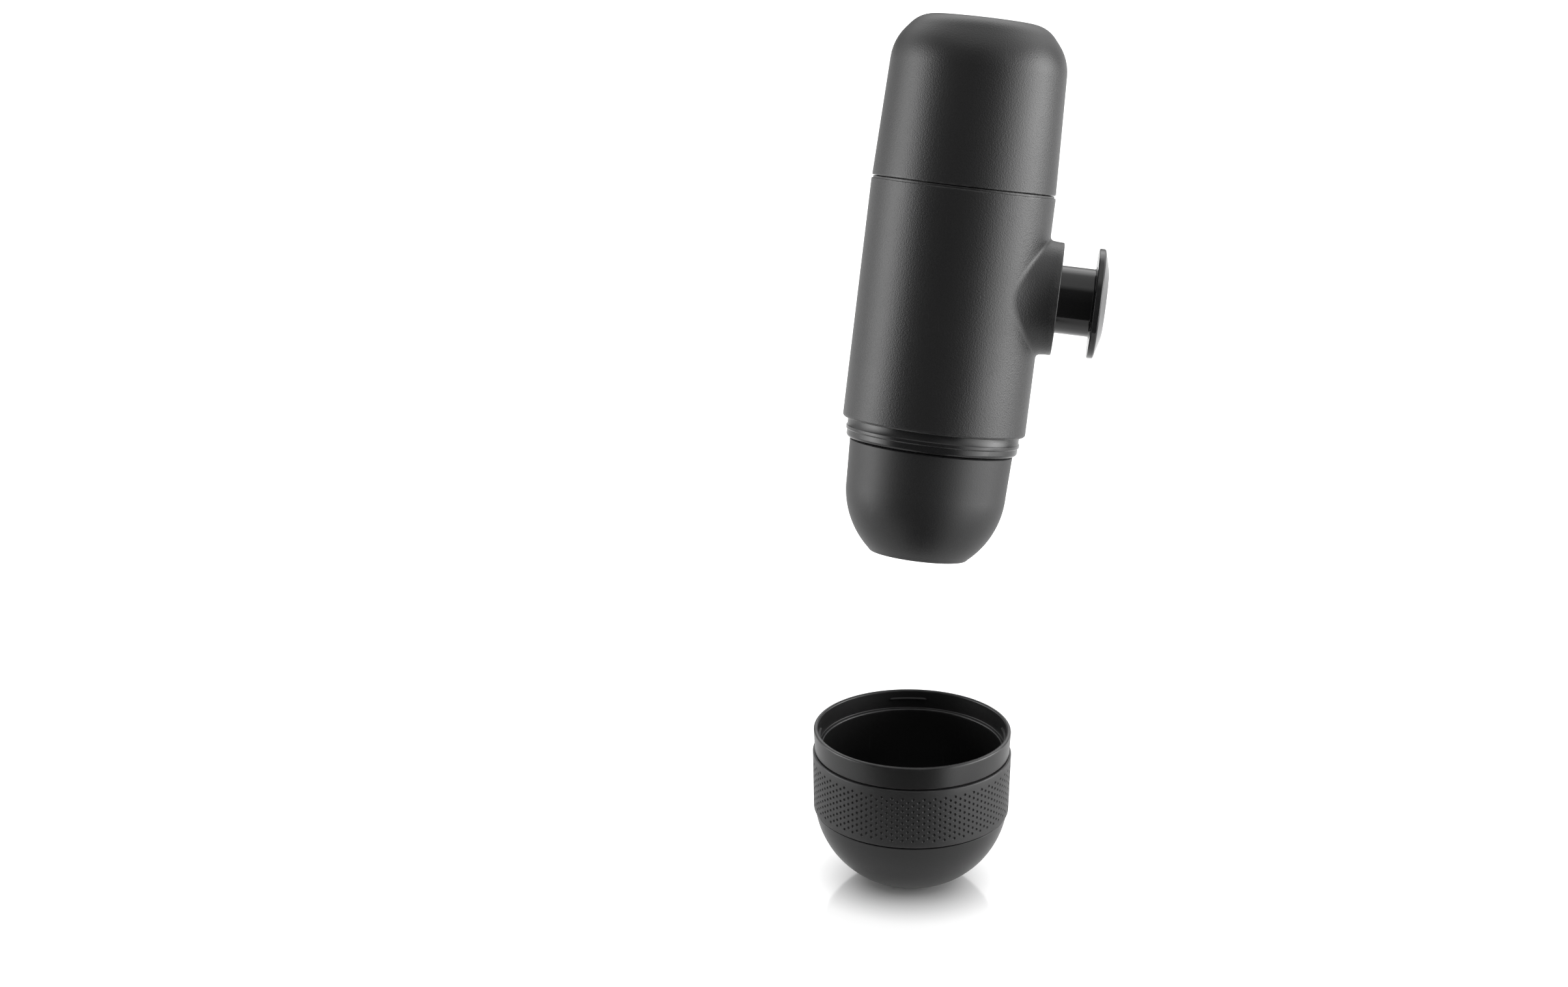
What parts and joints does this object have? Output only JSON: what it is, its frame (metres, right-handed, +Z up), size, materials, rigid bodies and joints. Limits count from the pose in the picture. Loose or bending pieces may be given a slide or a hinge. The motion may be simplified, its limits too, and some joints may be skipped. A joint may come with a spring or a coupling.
{
  "type": "handheld manual espresso maker",
  "caption": "Slim round hand-pumped espresso maker with a screw-on water tank, a push knob on its side, a bowl-shaped outlet head and a round cup with a dimpled grip band.",
  "frame": {"origin": "middle of the cup's foot, on the surface that the cup stands on", "axes": "+Z up; +X to the viewer's right, the side of the push knob; +Y away from the viewer, from the cup towards the held maker"},
  "size_m": [0.0959, 0.1572, 0.2549],
  "materials": {
    "body_shell": "satin with a fine leather grain",
    "neck_ring": "semi-gloss",
    "neck_screws": "plain steel",
    "pump_block": "as moulded",
    "tank_seat": "as moulded",
    "vent_valve": "soft silicone",
    "inlet_cage": "as moulded",
    "inlet_ball": "polished",
    "inlet_seat": "as moulded",
    "pump_cylinder": "honed",
    "guide_collar": "satin",
    "wiper_seal": "matte",
    "spring_washer": "plain steel",
    "return_spring": "drawn wire",
    "piston_head": "as moulded",
    "piston_seal": "matte",
    "piston_rod": "ground",
    "piston_stem": "gloss",
    "push_knob": "gloss",
    "outlet_valve": "soft silicone",
    "shower_screen": "etched",
    "screen_screw": "plain steel",
    "brew_gasket": "matte silicone",
    "filter_basket": "drawn steel",
    "filter_adapter": "as moulded",
    "spout_nozzle": "semi-gloss",
    "outlet_head": "fine matte grain",
    "tank": "satin with a fine leather grain",
    "tank_gasket": "matte silicone",
    "cup": "satin",
    "cup_grip": "soft matte with small dimples"
  },
  "bodies": {
    "maker": {"body_shell": "body_shell", "neck_ring": "neck_ring", "neck_screws": "neck_screws", "pump_block": "pump_block", "tank_seat": "tank_seat", "vent_valve": "vent_valve", "inlet_cage": "inlet_cage", "inlet_seat": "inlet_seat", "pump_cylinder": "pump_cylinder", "guide_collar": "guide_collar", "wiper_seal": "wiper_seal", "outlet_valve": "outlet_valve", "shower_screen": "shower_screen", "screen_screw": "screen_screw"},
    "spring_seat": {"spring_washer": "spring_washer", "return_spring": "return_spring"},
    "piston": {"piston_head": "piston_head", "piston_seal": "piston_seal", "piston_rod": "piston_rod", "piston_stem": "piston_stem", "push_knob": "push_knob"},
    "inlet_check": {"inlet_ball": "inlet_ball"},
    "tank_ring": {"tank_gasket": "tank_gasket"},
    "tank": {"tank": "tank"},
    "brew_ring": {"brew_gasket": "brew_gasket"},
    "outlet": {"filter_basket": "filter_basket", "filter_adapter": "filter_adapter", "spout_nozzle": "spout_nozzle", "outlet_head": "outlet_head"},
    "cup": {"cup": "cup", "cup_grip": "cup_grip"}
  },
  "joints": [
    {"name": "knob_turn", "type": "hinge", "parent": "maker", "child": "spring_seat", "pos_m": [0.0145, 0.08443, 0.16781], "axis": [0.9894, -0.1087, -0.0963], "range_deg": [0, 90]},
    {"name": "piston_push", "type": "slide", "parent": "spring_seat", "child": "piston", "axis": [-0.9894, 0.1087, 0.0963], "range_m": [0, 0.011], "stiffness_N_per_m": 900, "springref_m": -0.006, "deforming": ["return_spring"]},
    {"name": "inlet_ball_lift", "type": "slide", "parent": "maker", "child": "inlet_check", "axis": [0.1167, 0.1997, 0.9729], "range_m": [0, 0.0008]},
    {"name": "tank_turn", "type": "hinge", "parent": "maker", "child": "tank_ring", "pos_m": [0.01826, 0.09086, 0.19913], "axis": [0.1167, 0.1997, 0.9729], "range_deg": [0, 540]},
    {"name": "tank_lift", "type": "slide", "parent": "tank_ring", "child": "tank", "axis": [0.1167, 0.1997, 0.9729], "range_m": [0, 0.0096]},
    {"name": "outlet_turn", "type": "hinge", "parent": "maker", "child": "brew_ring", "pos_m": [0.00921, 0.07537, 0.12364], "axis": [-0.1167, -0.1997, -0.9729], "range_deg": [0, 540]},
    {"name": "outlet_drop", "type": "slide", "parent": "brew_ring", "child": "outlet", "axis": [-0.1167, -0.1997, -0.9729], "range_m": [0, 0.0144]},
    {"name": "cup_slide", "type": "slide", "parent": "maker", "child": "cup", "axis": [0.0628, 0.998, 0], "range_m": [0, 0.0669]}
  ],
  "couplings": [
    {"joint": "tank_lift", "follows": "tank_turn", "m_per_rad": 0.0010186},
    {"joint": "outlet_drop", "follows": "outlet_turn", "m_per_rad": 0.0015279}
  ]
}
